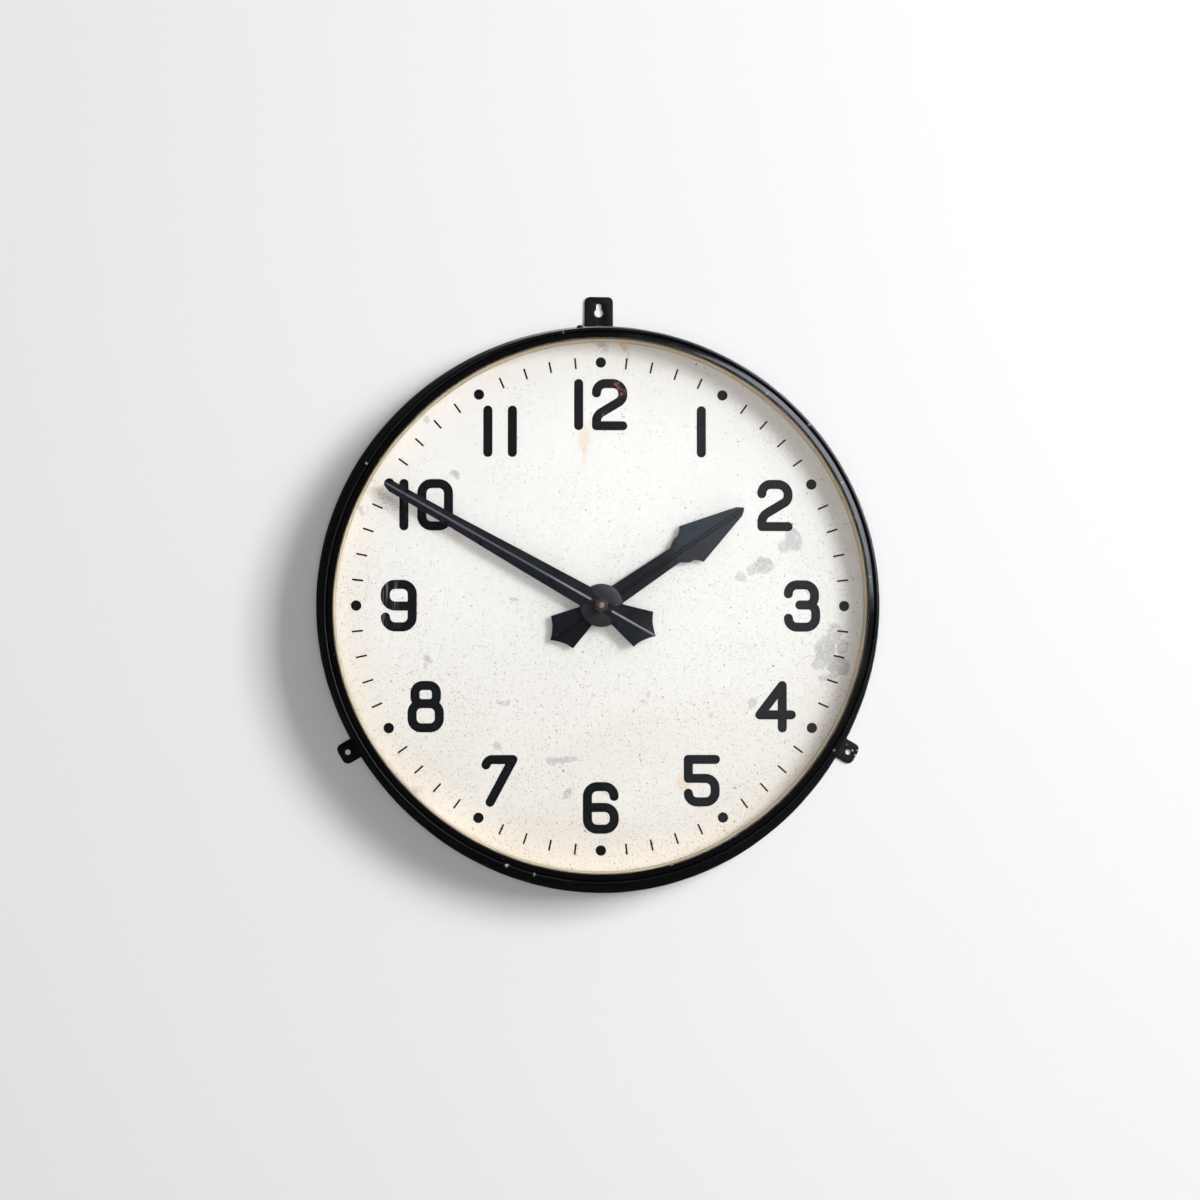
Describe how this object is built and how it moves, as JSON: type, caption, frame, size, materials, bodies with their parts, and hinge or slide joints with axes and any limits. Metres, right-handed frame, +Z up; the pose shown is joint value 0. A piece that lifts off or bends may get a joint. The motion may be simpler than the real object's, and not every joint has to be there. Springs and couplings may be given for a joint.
{
  "type": "wall clock",
  "caption": "Round wall clock in a black spun steel case on hanging lugs: glazed off-white dial with numerals, spade hour hand, tapered minute hand, electric impulse movement inside.",
  "frame": {"origin": "on the hands' axis, in the plane of the case's flat back", "axes": "+Z up through twelve o'clock, the clock faces -Y, +Y points out of its back to the wall, +X to the right as seen from the front"},
  "size_m": [0.497, 0.0833, 0.5258],
  "materials": {
    "black_enamel": "gloss black stoving enamel, scuffed and chipped",
    "dial_paint": "matt off-white paint, aged, flaking and spotted",
    "spacer_paint": "matt cream paint, yellowed",
    "hand_enamel": "semi-gloss black enamel, worn",
    "clear_glass": "clear, polished",
    "black_rubber": "matt",
    "steel": "turned, satin",
    "soft_iron": "dark satin",
    "brass": "satin",
    "old_brass": "tarnished, with rust bloom",
    "coil_tape": "varnished cotton tape",
    "phenolic": "brown moulded phenolic",
    "cloth_wire": "braided cotton covering"
  },
  "bodies": {
    "case": {"armature_pivot_pin": "steel", "backstop_pin": "steel", "bezel_ring": "black_enamel", "bezel_screw_bottom": "steel", "bezel_screw_top": "steel", "cable_grommet": "black_rubber", "case_pan": "black_enamel", "coil_lead_left": "cloth_wire", "coil_lead_right": "cloth_wire", "dial_foot_1": "steel", "dial_foot_2": "steel", "dial_foot_3": "steel", "dial_plate": "dial_paint", "dial_spacer_ring": "spacer_paint", "glass_pane": "clear_glass", "glass_seal": "black_rubber", "left_coil": "coil_tape", "left_coil_core": "soft_iron", "left_fixing_lug": "black_enamel", "left_lug_rivet_1": "steel", "left_lug_rivet_2": "steel", "magnet_yoke": "soft_iron", "minute_wheel_stud": "steel", "movement_back_plate": "steel", "movement_front_plate": "brass", "movement_pillar_1": "steel", "movement_pillar_2": "steel", "movement_pillar_3": "steel", "movement_pillar_4": "steel", "return_spring": "steel", "right_coil": "coil_tape", "right_coil_core": "soft_iron", "right_fixing_lug": "black_enamel", "right_lug_rivet_1": "steel", "right_lug_rivet_2": "steel", "spring_post": "steel", "terminal_block": "phenolic", "terminal_screw_left": "brass", "terminal_screw_right": "brass", "top_hanging_lug": "black_enamel", "top_lug_rivet_1": "steel", "top_lug_rivet_2": "steel"},
    "minute_train": {"minute_arbor": "steel", "ratchet_wheel": "brass", "cannon_pinion": "steel", "minute_hand": "hand_enamel", "centre_nut": "old_brass"},
    "intermediate": {"minute_wheel": "brass"},
    "hour_train": {"hour_wheel": "brass", "hour_hand": "hand_enamel"},
    "armature_lever": {"armature": "soft_iron", "drive_pawl_pin": "steel"},
    "drive_pawl_lever": {"drive_pawl": "steel"},
    "backstop_lever": {"backstop_pawl": "steel"}
  },
  "joints": [
    {"name": "minute_spin", "type": "hinge", "parent": "case", "child": "minute_train", "pos_m": [0, 0, 0], "axis": [0, 1, 0], "continuous": true},
    {"name": "intermediate_spin", "type": "hinge", "parent": "case", "child": "intermediate", "pos_m": [-0.01697, -0.044, -0.01697], "axis": [0, 1, 0], "continuous": true},
    {"name": "hour_spin", "type": "hinge", "parent": "case", "child": "hour_train", "pos_m": [0, 0, 0], "axis": [0, 1, 0], "continuous": true},
    {"name": "armature_swing", "type": "hinge", "parent": "case", "child": "armature_lever", "pos_m": [0.048, -0.0185, -0.031], "axis": [0, -1, 0], "range_deg": [0, 2.4], "stiffness_Nm_per_rad": 0.15, "springref_deg": -28.65, "deforming": ["return_spring"]},
    {"name": "drive_pawl_lift", "type": "hinge", "parent": "armature_lever", "child": "drive_pawl_lever", "pos_m": [0.048, -0.034, 0.038], "axis": [0, 1, 0], "range_deg": [0, 6]},
    {"name": "backstop_lift", "type": "hinge", "parent": "case", "child": "backstop_lever", "pos_m": [-0.04, -0.034, -0.034], "axis": [0, -1, 0], "range_deg": [0, 6], "stiffness_Nm_per_rad": 0.01, "springref_deg": -28.65}
  ],
  "couplings": [
    {"joint": "intermediate_spin", "follows": "minute_spin", "ratio": -0.33333},
    {"joint": "hour_spin", "follows": "minute_spin", "ratio": 0.083333},
    {"joint": "drive_pawl_lift", "follows": "armature_swing", "ratio": 2.25}
  ]
}
